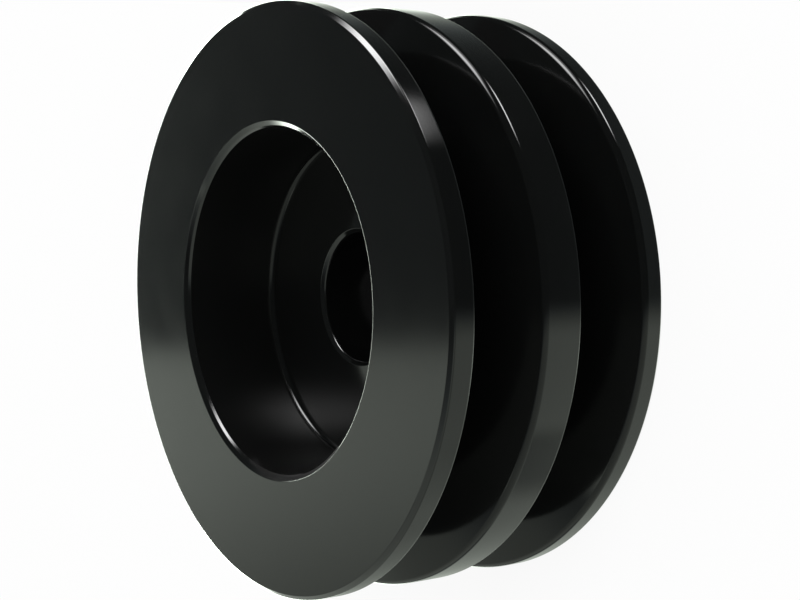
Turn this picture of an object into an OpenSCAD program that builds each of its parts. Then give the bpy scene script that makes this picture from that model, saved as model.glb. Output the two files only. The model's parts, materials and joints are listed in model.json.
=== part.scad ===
// Alternator pulley, turned in one piece from a steel blank. Two V-grooves take the drive
// belts, a cup in the front face makes room for the shaft nut and its socket, and the hub
// behind the cup slides on the shaft and is clamped there by the nut.
// The axis is +Z. The front face is up, and the origin is the middle of the rear face.

/* [Rims] */
// Outer diameter over the rims
rim_d = 76; // [72:0.5:100]
// Width of the front rim at the outer diameter
front_rim_w = 3.2; // [2:0.1:8]
// Width of the rear rim at the outer diameter
rear_rim_w = 2.9; // [2:0.1:8]
// Chamfer round the outer edge of the front face
front_chamfer = 0.6; // [0.2:0.05:1]
// Rounding of the rim edges that face the front, behind the front rim
front_edge_r = 0.85; // [0.2:0.05:1]
// Rounding of the rim edges that face the rear
rear_edge_r = 0.4; // [0.1:0.05:0.8]

/* [Belt grooves] */
// Number of belt grooves
groove_count = 2; // [1:1:4]
// Distance from one groove to the next
groove_pitch = 15.7; // [14:0.1:24]
// Width of a groove at the outer diameter
groove_top_w = 10.2; // [9:0.1:12]
// Angle between the two walls of a groove, in degrees
groove_angle = 36; // [32:1:40]
// Depth of a groove below the outer diameter
groove_depth = 11; // [7:0.1:12]
// Rounding where a groove's walls meet its floor
groove_root_r = 0.7; // [0.2:0.05:1]

/* [Nut recess] */
// Diameter of the recess in the front face
recess_d = 44.4; // [34:0.2:50]
// Depth of the recess, from the front face to the nut seat
recess_depth = 13.7; // [6:0.1:22]
// Chamfer round the mouth of the recess
recess_chamfer = 0.8; // [0.3:0.05:1.5]
// How far the recess wall leans in on each side, from the mouth down to the nut seat
recess_taper = 0.5; // [0:0.05:1]
// Rounding where the recess wall meets the nut seat
recess_corner_r = 1; // [0.2:0.05:2]

/* [Hub] */
// Diameter of the shaft bore
bore_d = 17; // [12:0.1:20]
// Chamfer at both ends of the bore
bore_chamfer = 0.6; // [0.2:0.05:1.2]
// Diameter of the rear hub face, which seats on the shaft's shoulder
hub_face_d = 32; // [24:0.5:44]
// Inner diameter of the rear rim's flat face
rear_land_d = 56; // [50:0.5:66]
// Depth of the turned relief between the hub face and the rear rim
relief_depth = 1; // [0.3:0.1:2.5]
// Rounding in the two corners of the relief
relief_corner_r = 0.5; // [0.1:0.05:0.9]

/* [Hidden] */
$fn = 192;

rim_r = rim_d / 2;
recess_r = recess_d / 2;
bore_r = bore_d / 2;
width = rear_rim_w + groove_top_w + groove_pitch * (groove_count - 1) + front_rim_w;
seat_z = width - recess_depth;
first_groove_z = rear_rim_w + groove_top_w / 2;

// How far every cutting outline runs on past the surface that it cuts
past = 1;

// Direction of a groove wall in the section, from the floor of the groove outwards
wall_tilt = groove_angle / 2;

function polar(length, angle) = length * [cos(angle), sin(angle)];

// The sliver between a corner and the arc that rounds it, for adding in an inner corner or
// cutting off an outer one. The edges leave the corner in the directions from and to, with
// the smaller angle counted from the first to the second.
module corner_sliver(corner, from, to, r) {
    half = (to - from) / 2;
    reach = r / tan(half);
    centre = corner + polar(r / sin(half), from + half);
    difference() {
        polygon([corner, corner + polar(reach, from), centre, corner + polar(reach, to)]);
        translate(centre) circle(r = r);
    }
}

// Section of the blank, chamfered at the front and rounded at the rear
module blank_section() {
    difference() {
        square([rim_r, width]);
        polygon([
            [rim_r + past, width - front_chamfer - past],
            [rim_r + past, width + past],
            [rim_r - front_chamfer - past, width + past]
        ]);
        corner_sliver([rim_r, 0], 90, 180, rear_edge_r);
    }
}

// Section of a groove's cut. Its middle is at height 0, and x is the radius.
module groove_section() {
    top = groove_top_w / 2;
    root = top - groove_depth * tan(wall_tilt);
    mouth = top + past * tan(wall_tilt);
    root_r = min(groove_root_r, root * 0.9);
    difference() {
        polygon([
            [rim_r + past, mouth],
            [rim_r - groove_depth, root],
            [rim_r - groove_depth, -root],
            [rim_r + past, -mouth]
        ]);
        corner_sliver([rim_r - groove_depth, root], -90, wall_tilt, root_r);
        corner_sliver([rim_r - groove_depth, -root], -wall_tilt, 90, root_r);
    }
    corner_sliver([rim_r, top], 90, 180 + wall_tilt, rear_edge_r);
    corner_sliver([rim_r, -top], 180 - wall_tilt, 270, front_edge_r);
}

// Section of the recess that takes the nut: a wall that narrows a little towards the seat, a
// chamfered mouth and a rounded corner at the seat
module recess_section() {
    floor_r = recess_r - recess_taper;
    lean = atan(recess_taper / (recess_depth - recess_chamfer));
    difference() {
        polygon([
            [-past, seat_z],
            [floor_r, seat_z],
            [recess_r, width - recess_chamfer],
            [recess_r + recess_chamfer + past, width + past],
            [-past, width + past]
        ]);
        corner_sliver([floor_r, seat_z], 90 - lean, 180, recess_corner_r);
    }
}

// Section of the bore, with a chamfer at the nut seat and one at the hub face
module bore_section() {
    polygon([
        [-past, -past],
        [bore_r + bore_chamfer + past, -past],
        [bore_r, bore_chamfer],
        [bore_r, seat_z - bore_chamfer],
        [bore_r + bore_chamfer + past, seat_z + past],
        [-past, seat_z + past]
    ]);
}

// Section of the relief in the rear, which leaves the hub face and the rim standing
module relief_section() {
    inner = hub_face_d / 2;
    outer = rear_land_d / 2;
    difference() {
        translate([inner, -past]) square([outer - inner, relief_depth + past]);
        corner_sliver([inner, relief_depth], -90, 0, relief_corner_r);
        corner_sliver([outer, relief_depth], 180, 270, relief_corner_r);
    }
}

// Half section of the finished pulley, with x as the radius and y as the height
module pulley_section() {
    difference() {
        blank_section();
        for (k = [0 : groove_count - 1])
            translate([0, first_groove_z + k * groove_pitch]) groove_section();
        recess_section();
        bore_section();
        relief_section();
    }
}

module pulley() {
    color([0.05, 0.052, 0.05]) rotate_extrude() pulley_section();
}

pulley();
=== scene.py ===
# %% [markdown]
# # Alternator pulley
#
# The object is one piece of steel, turned on a lathe and covered with a thin black coat. Three
# rims stand round it with two V-grooves between them for the belts. A deep cup in the front
# face makes room for the shaft nut, and a plain bore runs through the hub behind it.
#
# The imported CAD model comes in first. It is the fixed frame: its axes, its place and its size
# hold for everything that follows. +Z is the pulley's axis with the front face up, and the
# origin is the middle of the rear face, on which the pulley stands.

# %% The fixed frame
import json
import math

import bpy
from mathutils import Matrix, Vector


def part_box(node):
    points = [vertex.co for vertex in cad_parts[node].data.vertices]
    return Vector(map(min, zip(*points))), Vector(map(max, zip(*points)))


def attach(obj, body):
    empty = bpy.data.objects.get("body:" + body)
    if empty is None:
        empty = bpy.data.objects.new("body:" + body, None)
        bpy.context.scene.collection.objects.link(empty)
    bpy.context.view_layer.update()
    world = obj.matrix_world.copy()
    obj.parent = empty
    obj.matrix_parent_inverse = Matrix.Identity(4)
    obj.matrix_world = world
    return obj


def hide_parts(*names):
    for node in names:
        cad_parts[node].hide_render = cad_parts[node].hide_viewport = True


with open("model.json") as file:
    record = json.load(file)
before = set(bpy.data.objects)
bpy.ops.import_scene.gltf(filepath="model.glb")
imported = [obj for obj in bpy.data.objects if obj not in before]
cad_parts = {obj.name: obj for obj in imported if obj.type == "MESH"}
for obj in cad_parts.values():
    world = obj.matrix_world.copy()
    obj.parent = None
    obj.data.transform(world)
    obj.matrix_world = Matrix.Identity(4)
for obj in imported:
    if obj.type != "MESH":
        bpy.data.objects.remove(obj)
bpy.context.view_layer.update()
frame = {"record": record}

# %% [markdown]
# ## Sizes
#
# What the CAD model can say is read from it: the outer radius and the width from the node's
# box, the bore and the nut seat from the record's mounts. What is left is the shape of the
# section between them. It is given here in millimetres, as on a workshop drawing, with the same
# values as in the part's source. Only the edges of the front follow further down, with the
# corners they belong to.

# %% The sizes of the section
MM = 0.001
mounts = {mount["name"]: mount for mount in frame["record"]["mounts"]}
low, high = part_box("pulley")
rim_r = high.x / MM
width = high.z / MM
bore_r = mounts["shaft_bore"]["dims"]["r_mm"]
seat_z = mounts["nut_seat"]["pos_m"][2] / MM

rear_rim_w = 2.9
groove_top_w = 10.2
groove_pitch = 15.7
groove_depth = 11.0
groove_root_r = 0.7
wall_tilt = math.radians(18)
front_edge_r = 0.85
rear_edge_r = 0.4
recess_r = 22.2
recess_chamfer = 0.8
recess_taper = 0.5
recess_corner_r = 1.0
bore_chamfer = 0.6
hub_face_r = 16.0
rear_land_r = 28.0
relief_depth = 1.0
relief_corner_r = 0.5
print(f"rim radius {rim_r:.2f}, width {width:.2f} mm")
print(f"bore radius {bore_r}, seat height {seat_z:.2f} mm")

# %% [markdown]
# ## The turned section
#
# A lathe leaves no sharp corners: a tool has a nose, edges are broken with a file, and the coat
# rounds what is left. Those small roundings matter more than any large surface here, because
# on a black glossy part they catch the lamps as thin bright lines. A bevel modifier could round
# a coarse section, but it would have to guess the radius of every edge.
#
# So the section is written as a list of corners, each with its own radius, walked
# counter-clockwise from the bore along the rear face, up over the rims and back down through the
# recess. The steel is always on the left of the walk, and the outward normal on its right.
#
# The three chamfers of the front are flatter than the plain 45 degree ones of the CAD model, and
# depart from them by about 0.2 mm at most. At 45 degrees they mirror the lamps as broad bands,
# and the photograph shows thin lines. The mouth of the cup has a second, narrower break below
# its chamfer. In the names below, W is a width across and H a depth below the face above it.

# %% The corners of the section
EDGE_BREAK = 0.16
RIM_CHAMFER_W = 0.56
RIM_CHAMFER_H = 0.41
RIM_EDGE_R = 0.3
MOUTH_BREAK_W = 0.24
MOUTH_CHAMFER_H = 0.38
MOUTH_H = 0.68
HUB_CHAMFER_W = 0.62
HUB_CHAMFER_H = 0.42
HUB_EDGE_R = 0.5


def groove_corners(middle):
    """The four corners of the groove whose middle is at this height."""
    top = groove_top_w / 2
    root = top - groove_depth * math.tan(wall_tilt)
    floor_r = rim_r - groove_depth
    return [
        (rim_r, middle - top, front_edge_r),
        (floor_r, middle - root, groove_root_r),
        (floor_r, middle + root, groove_root_r),
        (rim_r, middle + top, rear_edge_r),
    ]


first_groove = rear_rim_w + groove_top_w / 2
rear_corners = [
    (bore_r + bore_chamfer, 0, EDGE_BREAK),
    (hub_face_r, 0, EDGE_BREAK),
    (hub_face_r, relief_depth, relief_corner_r),
    (rear_land_r, relief_depth, relief_corner_r),
    (rear_land_r, 0, EDGE_BREAK),
    (rim_r, 0, rear_edge_r),
]
front_corners = [
    (rim_r, width - RIM_CHAMFER_H, RIM_EDGE_R),
    (rim_r - RIM_CHAMFER_W, width, EDGE_BREAK),
    (recess_r + recess_chamfer, width, EDGE_BREAK),
    (recess_r + MOUTH_BREAK_W, width - MOUTH_CHAMFER_H, EDGE_BREAK),
    (recess_r, width - MOUTH_H, EDGE_BREAK),
    (recess_r - recess_taper, seat_z, recess_corner_r),
    (bore_r + HUB_CHAMFER_W, seat_z, EDGE_BREAK),
    (bore_r, seat_z - HUB_CHAMFER_H, HUB_EDGE_R),
    (bore_r, bore_chamfer, EDGE_BREAK),
]
corners = (
    rear_corners
    + groove_corners(first_groove)
    + groove_corners(first_groove + groove_pitch)
    + front_corners
)
print(len(corners), "corners in the section")

# %% [markdown]
# Each corner becomes an arc that touches both of its edges. Along the arc the exact normal is
# known, so it is kept beside every point. Where a straight edge meets an arc the two share one
# normal, and the shading runs on without a crease or a false bulge.

# %% From corners to a rounded outline
DEGREES_PER_STEP = 8
FEWEST_STEPS = 4


def turned(vector, angle):
    """The vector turned counter-clockwise by the angle."""
    x = vector.x * math.cos(angle) - vector.y * math.sin(angle)
    y = vector.x * math.sin(angle) + vector.y * math.cos(angle)
    return Vector((x, y))


def rounded_corner(before, corner, after, radius):
    """The points and outward normals along the arc that rounds one corner."""
    arriving = (corner - before).normalized()
    leaving = (after - corner).normalized()
    turn = math.atan2(
        arriving.x * leaving.y - arriving.y * leaving.x,
        arriving.dot(leaving),
    )
    start = corner - arriving * radius * math.tan(abs(turn) / 2)
    inward = turned(arriving, math.copysign(math.pi / 2, turn))
    centre = start + inward * radius
    steps = max(FEWEST_STEPS, round(math.degrees(abs(turn)) / DEGREES_PER_STEP))
    arc = []
    for step in range(steps + 1):
        angle = turn * step / steps
        heading = turned(arriving, angle)
        arc.append((centre + turned(start - centre, angle), Vector((heading.y, -heading.x))))
    return arc


outline = []
for number, (r, z, radius) in enumerate(corners):
    before = Vector(corners[number - 1][:2])
    after = Vector(corners[(number + 1) % len(corners)][:2])
    outline += rounded_corner(before, Vector((r, z)), after, radius)
print(len(outline), "points round the section")

# %% [markdown]
# ## Turning it
#
# The outline is carried round the axis, as the lathe does. A screw modifier would make the same
# surface, but its normals would be averaged from the faces. Writing the rings in code
# lets the exact normals go onto the mesh, and on a mirror-like coat every faceted
# normal would show as a kink in a reflection.

# %% The pulley's mesh
SEGMENTS = 288


def turned_mesh(name, outline, segments):
    """A closed ring of revolution about Z from an outline of points and normals in mm."""
    points = []
    normals = []
    for place, normal in outline:
        for segment in range(segments):
            angle = 2 * math.pi * segment / segments
            c = math.cos(angle)
            s = math.sin(angle)
            points.append((place.x * c * MM, place.x * s * MM, place.y * MM))
            normals.append((normal.x * c, normal.x * s, normal.y))
    faces = []
    for ring in range(len(outline)):
        here = ring * segments
        there = (ring + 1) % len(outline) * segments
        for segment in range(segments):
            after = (segment + 1) % segments
            faces.append((here + segment, here + after, there + after, there + segment))
    mesh = bpy.data.meshes.new(name)
    mesh.from_pydata(points, [], faces)
    mesh.shade_smooth()
    mesh.normals_split_custom_set_from_vertices(normals)
    return mesh


pulley = bpy.data.objects.new("pulley_turned", turned_mesh("pulley_turned", outline, SEGMENTS))
bpy.context.scene.collection.objects.link(pulley)
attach(pulley, "root")
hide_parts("pulley")
print(len(pulley.data.polygons), "faces on the pulley")

# %% [markdown]
# ## Writing shaders as sums
#
# A finish is arithmetic: a little of this noise, more of it where that mask is high. Node
# graphs hide it, so one small class wraps a socket and turns Python's operators into Math nodes.
# Every other node comes from one method, which sets the node's own settings first and then
# fills its sockets with values or links. The methods for a Math node, a soft step and the parts
# of a vector are short names for calls of that one.

# %% Sockets that do arithmetic
class Socket:
    """An output of a node. Arithmetic on it adds the Math nodes that work it out."""

    def __init__(self, shader, output):
        self.shader = shader
        self.output = output

    def __add__(self, other):
        return self.shader.math("ADD", self, other)

    def __sub__(self, other):
        return self.shader.math("SUBTRACT", self, other)

    def __rsub__(self, other):
        return self.shader.math("SUBTRACT", other, self)

    def __mul__(self, other):
        return self.shader.math("MULTIPLY", self, other)

    def __truediv__(self, other):
        return self.shader.math("DIVIDE", self, other)

    __radd__ = __add__
    __rmul__ = __mul__


class Shader:
    """The node tree of a material or of the world."""

    def __init__(self, owner):
        owner.use_nodes = True
        self.tree = owner.node_tree
        self.tree.nodes.clear()

    def node(self, kind, settings=None, sockets=None, out=0):
        """A new node, and of its outputs the one that is wanted."""
        made = self.tree.nodes.new(kind)
        for name, value in (settings or {}).items():
            setattr(made, name, value)
        for name, value in (sockets or {}).items():
            if isinstance(value, Socket):
                self.tree.links.new(value.output, made.inputs[name])
            else:
                made.inputs[name].default_value = value
        return Socket(self, made.outputs[out]) if made.outputs else None

    def math(self, operation, *values):
        return self.node("ShaderNodeMath", {"operation": operation}, dict(enumerate(values)))

    def axes(self, vector, names="XYZ"):
        """The named parts of a vector, one socket for each."""
        whole = {"Vector": vector}
        return [self.node("ShaderNodeSeparateXYZ", None, whole, name) for name in names]

    def step(self, value, start, end):
        """0 before start and 1 after end, with a soft S between. Start may be the larger."""
        settings = {"interpolation_type": "SMOOTHSTEP"}
        sockets = {"Value": value, "From Min": start, "From Max": end}
        return self.node("ShaderNodeMapRange", settings, sockets)


print("sockets add, subtract, multiply and divide")

# %% [markdown]
# ## The black coat
#
# The steel is dipped and baked: a few hundredths of a millimetre of black paint, smooth enough
# to mirror the room softly. What tells it from black plastic is small. The coat has a fine grain
# like orange peel, a fifth of a millimetre across, which breaks up the edge of a reflection into
# specks. It lies a little unevenly, so the gloss is cloudy over a few millimetres. Under
# it the turning marks of the lathe still show faintly, as rings round the axis.
#
# All three are noise. The grain and the clouds use the plain position. For the turning marks
# the position becomes radius and height, so the noise has no choice but to run round.
#
# The wet coat runs together on the three chamfers of the front and dries there with more gloss:
# a second clear layer adds it. On the steep wall of the cup it dries rougher, and what that
# wall mirrors spreads out. Radius and height tell where these places are, and the ring of the
# rear relief that lies straight below the wall counts with it.

# %% The finish of the pulley
GRAIN_SCALE = 4500
CLOUD_SCALE = 160
MARK_SCALE = 2600
GRAIN_HEIGHT = 1.6
CLOUD_HEIGHT = 4.5
MARK_HEIGHT = 0.45
BUMP_DISTANCE = 0.0000004
MASK_EDGE = 0.05
WALL_MARGIN = 0.1
LEAST_ROUGHNESS = 0.08
CLOUDY_ROUGHNESS = 0.05
WALL_ROUGHNESS = 0.22
CLEAR_ROUGHNESS = 0.12
COAT_IOR = 1.55
DARKER_BLACK = (0.0024, 0.0026, 0.0025, 1)
LIGHTER_BLACK = (0.0030, 0.0032, 0.0031, 1)


def black_coat():
    """The material of the whole pulley."""
    material = bpy.data.materials.new("black_coat")
    shader = Shader(material)
    place = shader.node("ShaderNodeTexCoord", out="Object")
    x, y, z = shader.axes(place)
    radius = shader.math("SQRT", x * x + y * y)
    rings = shader.node("ShaderNodeCombineXYZ", None, {"X": radius, "Y": z})

    def noise(vector, scale, detail):
        sockets = {"Vector": vector, "Scale": scale, "Detail": detail}
        return shader.node("ShaderNodeTexNoise", None, sockets)

    grain = noise(place, GRAIN_SCALE, 1)
    clouds = noise(place, CLOUD_SCALE, 3)
    marks = noise(rings, MARK_SCALE, 2)

    height = grain * GRAIN_HEIGHT + marks * MARK_HEIGHT + clouds * CLOUD_HEIGHT
    normal = shader.node(
        "ShaderNodeBump",
        None,
        {"Strength": 1.0, "Distance": BUMP_DISTANCE, "Height": height},
    )

    def beyond(value, limit, side):
        """1 where a length in mm lies above the limit, or below it where side is -1."""
        edge = side * MASK_EDGE
        return shader.step(value, (limit - edge) * MM, (limit + edge) * MM)

    rim = beyond(radius, rim_r - RIM_CHAMFER_W, 1) * beyond(z, width - RIM_CHAMFER_H, 1)
    mouth = beyond(radius, recess_r + recess_chamfer, -1) * beyond(z, width - MOUTH_H, 1)
    hub = beyond(radius, bore_r + HUB_CHAMFER_W, -1) * beyond(z, seat_z - HUB_CHAMFER_H, 1)
    chamfers = rim + mouth + hub * (1 - mouth)
    cup = beyond(radius, recess_r + MOUTH_BREAK_W, -1) * beyond(z, width - MOUTH_H, -1)
    wall = cup * beyond(radius, recess_r - recess_taper - WALL_MARGIN, 1)
    roughness = LEAST_ROUGHNESS + clouds * CLOUDY_ROUGHNESS + wall * WALL_ROUGHNESS
    colour = shader.node(
        "ShaderNodeMix",
        {"data_type": "RGBA"},
        {0: clouds, 6: DARKER_BLACK, 7: LIGHTER_BLACK},
        2,
    )
    coat = shader.node(
        "ShaderNodeBsdfPrincipled",
        None,
        {
            "Base Color": colour,
            "Metallic": 0.0,
            "Roughness": roughness,
            "IOR": COAT_IOR,
            "Normal": normal,
            "Coat Weight": chamfers,
            "Coat Roughness": CLEAR_ROUGHNESS,
        },
    )
    shader.node("ShaderNodeOutputMaterial", None, {"Surface": coat})
    return material


pulley.data.materials.append(black_coat())
print("materials on the pulley:", [m.name for m in pulley.data.materials])

# %% [markdown]
# ## Floor
#
# The pulley stands on a plain pale floor. The photograph was taken on a white sweep lit so
# strongly that it shows as pure white, so most of the floor's colour for the camera is its own
# white, and a small share is a plain diffuse floor, which keeps the pulley's soft shadow. Seen
# from below the floor is clear, so that the rear face can be looked at.

# %% The floor
FLOOR_SIZE = 8
FLOOR_COLOUR = (0.85, 0.85, 0.85, 1)
WHITE_SHARE = 0.9


def white_floor():
    """The material of the floor, white from above and clear from below."""
    material = bpy.data.materials.new("white_floor")
    shader = Shader(material)
    diffuse = shader.node("ShaderNodeBsdfDiffuse", None, {"Color": FLOOR_COLOUR})
    glow = shader.node("ShaderNodeEmission", None, {"Strength": 1.0})
    seen = shader.node("ShaderNodeLightPath", out="Is Camera Ray")
    through = shader.node("ShaderNodeLightPath", out="Is Transmission Ray")
    share = (seen + through) * WHITE_SHARE
    top = shader.node("ShaderNodeMixShader", None, {0: share, 1: diffuse, 2: glow})
    clear = shader.node("ShaderNodeBsdfTransparent")
    below = shader.node("ShaderNodeNewGeometry", out="Backfacing")
    both = shader.node("ShaderNodeMixShader", None, {0: below, 1: top, 2: clear})
    shader.node("ShaderNodeOutputMaterial", None, {"Surface": both})
    return material


half = FLOOR_SIZE / 2
floor_mesh = bpy.data.meshes.new("floor")
floor_mesh.from_pydata(
    [(-half, -half, 0), (half, -half, 0), (half, half, 0), (-half, half, 0)],
    [],
    [(0, 1, 2, 3)],
)
floor_mesh.materials.append(white_floor())
floor = bpy.data.objects.new("floor", floor_mesh)
floor.visible_glossy = False
bpy.context.scene.collection.objects.link(floor)
print("floor", FLOOR_SIZE, "m across")

# %% [markdown]
# ## The room
#
# A black glossy part has almost no colour of its own. What the eye reads as its shape is the
# room in its surfaces, so the room is the light that matters. A picture of a studio could be
# wrapped round the scene, but a few soft steps over the direction of a ray do the same, and each
# of them can be moved by itself. Only mirrors see this room. Everything else gets plain even
# light from the world.
#
# The side towards -X mirrors the table that the pulley was photographed on. The table is grey by
# the time it is seen in the black coat, a little lighter straight below, and it ends in a sharp
# edge far behind and in a soft one on the camera's side. Above it the room fades to dark.
#
# In the code x, y and z are the parts of the direction, each from -1 to 1. A step over one of
# them says from where to where it rises, and the number behind it how light that place is.

# %% The table as mirrors see it
def table_in_mirrors(shader, x, y, z):
    """How far the table covers a direction, and how light it is there."""
    step = shader.step
    nearer = step(y, 0.3, 0.0)
    lean = z * 0.03
    edge_start = -0.031 - lean - nearer * 0.03
    edge_end = -0.043 - lean - nearer * 0.22
    covers = step(x, edge_start, edge_end)

    risen = z + step(y, 0.15, 0.5) * 0.13
    level = (0.42 - z * 0.1) * step(risen, 1.0, 0.75)
    level = level + step(z, -0.3, -0.55) * 0.1
    level = level + step(z, -0.45, -0.58) * 0.05
    level = level + step(z, -0.62, -0.69) * 0.18

    away = step(y, -0.05, 0.15)
    hollow = away * step(z, -0.68, -0.45) * step(z, -0.12, -0.3)
    ridge = away * step(z, -0.15, 0.0) * step(z, 0.5, 0.3)
    level = level - hollow * 0.28 + ridge * 0.1

    # Painted shade: the mirrored table is made darker in a patch within one narrow band of
    # directions.
    band = step(z, -0.61, -0.635) * step(z, -0.68, -0.655)
    painted_shade_patch = band * step(y, 0.08, -0.15) * step(y, -0.46, -0.36)
    over = step(x, -0.05, -0.15) * step(y, 0.15, 0.3) * step(z, 0.78, 0.83)
    level = level - painted_shade_patch * 0.4 + over * 0.7

    behind = step(x, -0.25, -0.1) * step(y, 0.5, 0.75) * step(z, 0.0, 0.3)
    below = step(z, -0.93, -0.97)
    return covers, level + behind * 0.5 + below * 2.5


print("the table covers the side towards -X")

# %% [markdown]
# Behind the pulley stands the lit sweep, by far the lightest part of the room. It is what draws
# the light line along the left side of every rim. It ends about 21 degrees above the horizon,
# and lower towards -X. Below about 10 degrees it reaches farther round towards +X, and under
# the horizon it gives way to a weaker foot that fades out over the floor. The other directions
# are dark.

# %% The sweep as mirrors see it
SWEEP_LEVEL = 9.5
SWEEP_TOP = 21
SWEEP_TOP_SOFTNESS = 2
FOOT_LEVEL = 1.2
FOOT_END = 20
FOOT_FADE = 13.5


def sweep_in_mirrors(shader, x, y, z):
    """The light of the sweep behind the pulley and of its foot. Its steps are in degrees."""
    azimuth = shader.math("DEGREES", shader.math("ARCTAN2", x, y))
    elevation = shader.math("DEGREES", shader.math("ARCSINE", z))
    leaning = elevation - shader.math("MINIMUM", azimuth, 0.0) * 0.25
    top = shader.step(leaning, SWEEP_TOP + SWEEP_TOP_SOFTNESS, SWEEP_TOP - SWEEP_TOP_SOFTNESS)
    upper = top * shader.step(azimuth, 21, 16)
    lower = shader.step(elevation, 13, 6) * shader.step(azimuth, 46, 37)
    either = upper + lower * (1 - upper)
    slanting = azimuth - elevation * 0.5
    sweep = either * shader.step(slanting, -33, -9) * shader.step(elevation, -32.5, -26.5)

    fading = shader.math("EXPONENT", (FOOT_END - azimuth) / FOOT_FADE)
    bounded = shader.math("MINIMUM", fading, 1.0)
    foot = bounded * shader.step(elevation, -24, -34) * shader.step(x, 0.0, 0.1)
    return sweep * SWEEP_LEVEL + foot * FOOT_LEVEL


print("sweep up to", SWEEP_TOP, "degrees")

# %% [markdown]
# The world sends each kind of ray what it should see: the camera a white backdrop, mirrors the
# room, and matt surfaces the plain light. The mirrored room is faintly green in its light parts
# and bluer in its dark ones, like the lamps and the walls it was seen with.

# %% The world
PLAIN_LIGHT = 0.8
DARK_ROOM = 0.035
WHITE = (1, 1, 1, 1)
LIGHT_TINT = (0.977, 1.069, 0.951, 1)
DARK_TINT = (0.92, 1.05, 1.03, 1)


def room():
    """The world, with the room that mirrors see."""
    world = bpy.data.worlds.new("studio")
    shader = Shader(world)
    x, y, z = shader.axes(shader.node("ShaderNodeTexCoord", out="Generated"))
    covers, table = table_in_mirrors(shader, x, y, z)
    floor_below = shader.step(z, -0.665, -0.7) * 0.1
    wall_behind = shader.step(y, 0.6, 0.75) * shader.step(z, 0.3, 0.45) * 0.04
    dark = DARK_ROOM + floor_below + wall_behind
    mirrored = dark + covers * (table - dark) + sweep_in_mirrors(shader, x, y, z)
    seen = shader.node("ShaderNodeLightPath", out="Is Camera Ray")
    through = shader.node("ShaderNodeLightPath", out="Is Transmission Ray")
    glossy = shader.node("ShaderNodeLightPath", out="Is Glossy Ray")
    level = PLAIN_LIGHT + (seen + through) * (1 - PLAIN_LIGHT) + glossy * (mirrored - PLAIN_LIGHT)
    light_part = shader.step(mirrored, 0.1, 0.4)
    blend = {"data_type": "RGBA"}
    tint = shader.node("ShaderNodeMix", blend, {0: light_part, 6: DARK_TINT, 7: LIGHT_TINT}, 2)
    colour = shader.node("ShaderNodeMix", blend, {0: glossy, 6: WHITE, 7: tint}, 2)
    background = shader.node("ShaderNodeBackground", None, {"Color": colour, "Strength": level})
    shader.node("ShaderNodeOutputWorld", None, {"Surface": background})
    return world


scene = bpy.context.scene
scene.world = room()
print("plain light", PLAIN_LIGHT)

# %% [markdown]
# ## Soft boxes
#
# Thin bright lines run along the upper edges of the rims. They are two lamps, seen very small in
# the narrow roundings: a soft box close over the pulley, and another farther off and lower down
# beside it. The first has a weaker foot under it, so three glowing cards make the two lamps.
# Only mirrors can see them. An area lamp of that strength would also flood the floor with light,
# and the colours would no longer render as written.
#
# A soft box is brightest in the middle, so each card fades from there to its rim. The distance
# is counted on the card itself, where 1 is the half-bright line. It is the fourth root of a sum
# of fourth powers, which makes a square with round corners.

# %% Cards that only mirrors see
FADE_START = 0.5
FADE_END = 1.5


def mirrored_only(made):
    """Puts a piece of the studio in the scene so that it shows in reflections alone."""
    made.visible_camera = False
    made.visible_diffuse = False
    made.visible_transmission = False
    made.visible_shadow = False
    bpy.context.scene.collection.objects.link(made)
    return made


def card(name, centre, facing, wide, high, strength):
    """A soft-edged glowing card at a centre, upright and turned to face a point, in mm."""
    material = bpy.data.materials.new(name)
    shader = Shader(material)
    across, up = shader.axes(shader.node("ShaderNodeTexCoord", out="Object"), "XY")
    u = across / (wide * MM)
    v = up / (high * MM)
    distance = shader.math("POWER", u * u * u * u + v * v * v * v, 0.25)
    share = shader.step(distance, FADE_END, FADE_START)
    clear = shader.node("ShaderNodeBsdfTransparent")
    glow = shader.node("ShaderNodeEmission", None, {"Strength": strength})
    soft = shader.node("ShaderNodeMixShader", None, {0: share, 1: clear, 2: glow})
    shader.node("ShaderNodeOutputMaterial", None, {"Surface": soft})
    half = Vector((wide, high, 0)) * FADE_END * MM
    signs = [(-1, -1), (1, -1), (1, 1), (-1, 1)]
    corners = [Vector((half.x * side, half.y * rise, 0)) for side, rise in signs]
    mesh = bpy.data.meshes.new(name)
    mesh.from_pydata(corners, [], [range(4)])
    mesh.materials.append(material)
    made = bpy.data.objects.new(name, mesh)
    turn = (facing - centre).to_track_quat("Z", "Y")
    made.matrix_world = Matrix.Translation(centre * MM) @ turn.to_matrix().to_4x4()
    return mirrored_only(made)


upper_edges = Vector((30, -20, 20))
card("card_over", Vector((215, 15, 136)), upper_edges, 58, 46, 9.5)
card("card_over_foot", Vector((273, 1, 76)), upper_edges, 58, 44, 1.7)
card("card_beside", Vector((532, -216, -246)), upper_edges, 96, 80, 12.5)
print("three cards")

# %% [markdown]
# Three dark pieces keep light out of narrow reflections. They too are seen by mirrors alone, and
# they are parts of the studio, not of the pulley. Mirrors don't see the floor, so light would
# seem to come up through the bore: a disc just under its rear end stands for the floor there.
# One dark card stands upright beside the front rim. A smaller one stands in the mouth of the
# cup, partly below the face, and keeps the sweep off the chamfer at the bottom of the mouth.
# A photographer does the same with strips of black card, though not as close to the part.

# %% Dark pieces that only mirrors see
BORE_END_SIDES = 64
BORE_END_MARGIN = 1
BORE_END_HEIGHT = -0.3
BORE_END_LEVEL = 0.06
CUP_FLAG_LEVEL = 0.1


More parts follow.
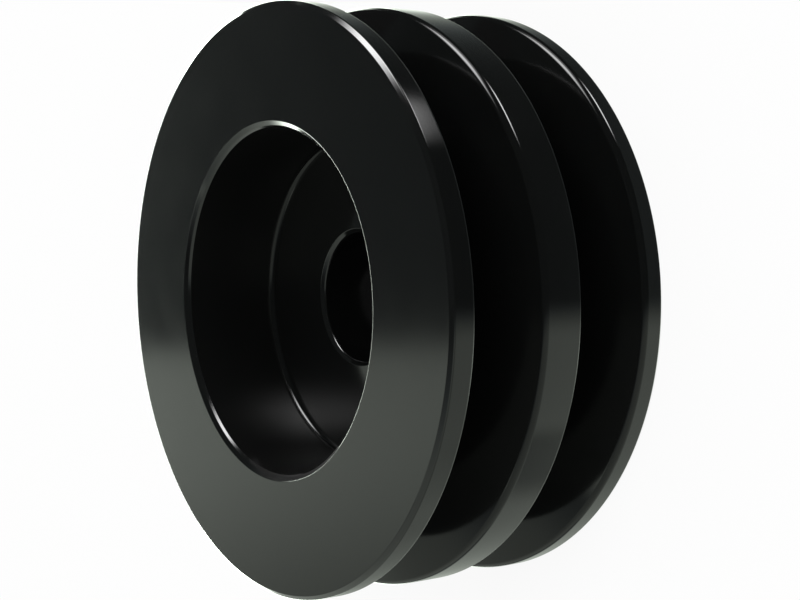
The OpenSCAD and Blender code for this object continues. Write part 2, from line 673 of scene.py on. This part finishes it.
def flag(name, corners, level):
    """A flat piece between the corners, in mm, that is evenly dark on both sides."""
    material = bpy.data.materials.new(name)
    shader = Shader(material)
    dark = shader.node("ShaderNodeEmission", None, {"Strength": level})
    shader.node("ShaderNodeOutputMaterial", None, {"Surface": dark})
    mesh = bpy.data.meshes.new(name)
    mesh.from_pydata([Vector(corner) * MM for corner in corners], [], [range(len(corners))])
    mesh.materials.append(material)
    return mirrored_only(bpy.data.objects.new(name, mesh))


# Painted shade: the disc glows dimly, as dark as the floor lies in shade under the bore.
bore_end = []
bore_end_r = bore_r + BORE_END_MARGIN
for side in range(BORE_END_SIDES):
    angle = 2 * math.pi * side / BORE_END_SIDES
    bore_end.append((bore_end_r * math.cos(angle), bore_end_r * math.sin(angle), BORE_END_HEIGHT))
flag("bore_end", bore_end, BORE_END_LEVEL)
flag("rim_flag", [(49, 28, 26), (62, 18, 26), (62, 18, 44), (49, 28, 44)], DARK_ROOM)
cup_flag = [(-17, -6, 29.5), (-19.5, 8.5, 29.5), (-19.5, 8.5, 35), (-17, -6, 35)]
flag("cup_flag", cup_flag, CUP_FLAG_LEVEL)
print("three dark pieces")

# %% [markdown]
# ## Plain light
#
# One large area lamp gives the floor and any matt surface a direction, and it casts the soft
# shadow. It isn't mirrored, because the cards are.

# %% The lamp
LAMP_PLACE = Vector((0.35, -0.35, 0.7))
LAMP_AIM = Vector((0, 0, 0.016))
LAMP_SIZE = 0.5
LAMP_POWER = 3.0

lamp_data = bpy.data.lights.new("lamp_over", "AREA")
lamp_data.shape = "DISK"
lamp_data.size = LAMP_SIZE
lamp_data.energy = LAMP_POWER
lamp = bpy.data.objects.new("lamp_over", lamp_data)
lamp.location = LAMP_PLACE
lamp.rotation_mode = "QUATERNION"
lamp.rotation_quaternion = (LAMP_AIM - LAMP_PLACE).to_track_quat("-Z", "Y")
lamp.visible_camera = False
lamp.visible_glossy = False
scene.collection.objects.link(lamp)

# %% [markdown]
# ## Camera
#
# The camera's place comes from fitting the ellipses of the rims in the photograph: it looks down
# on the standing pulley from its -Y side, and it is turned on its side, so that the picture's
# up is the pulley's +X. The floor fills the whole picture behind it.

# %% The camera
CAMERA_PLACE = Vector((4.628, -172.539, 136.242)) * MM
SIGHT_POINT = Vector((-0.473, -6.298, 16.0)) * MM
PICTURE_UP = Vector((0.9991012, 0, -0.04238854))
LENS = 70.79
SENSOR_WIDTH = 36
NEAREST = 0.01

back = (CAMERA_PLACE - SIGHT_POINT).normalized()
right = PICTURE_UP.cross(back).normalized()
up = back.cross(right)
camera_data = bpy.data.cameras.new("camera")
camera_data.lens = LENS
camera_data.sensor_width = SENSOR_WIDTH
camera_data.clip_start = NEAREST
camera = bpy.data.objects.new("camera", camera_data)
facing = Matrix((right, up, back)).transposed().to_4x4()
camera.matrix_world = Matrix.Translation(CAMERA_PLACE) @ facing
scene.collection.objects.link(camera)
scene.camera = camera
scene.view_settings.view_transform = "Standard"
print("camera at", [round(value, 4) for value in CAMERA_PLACE])
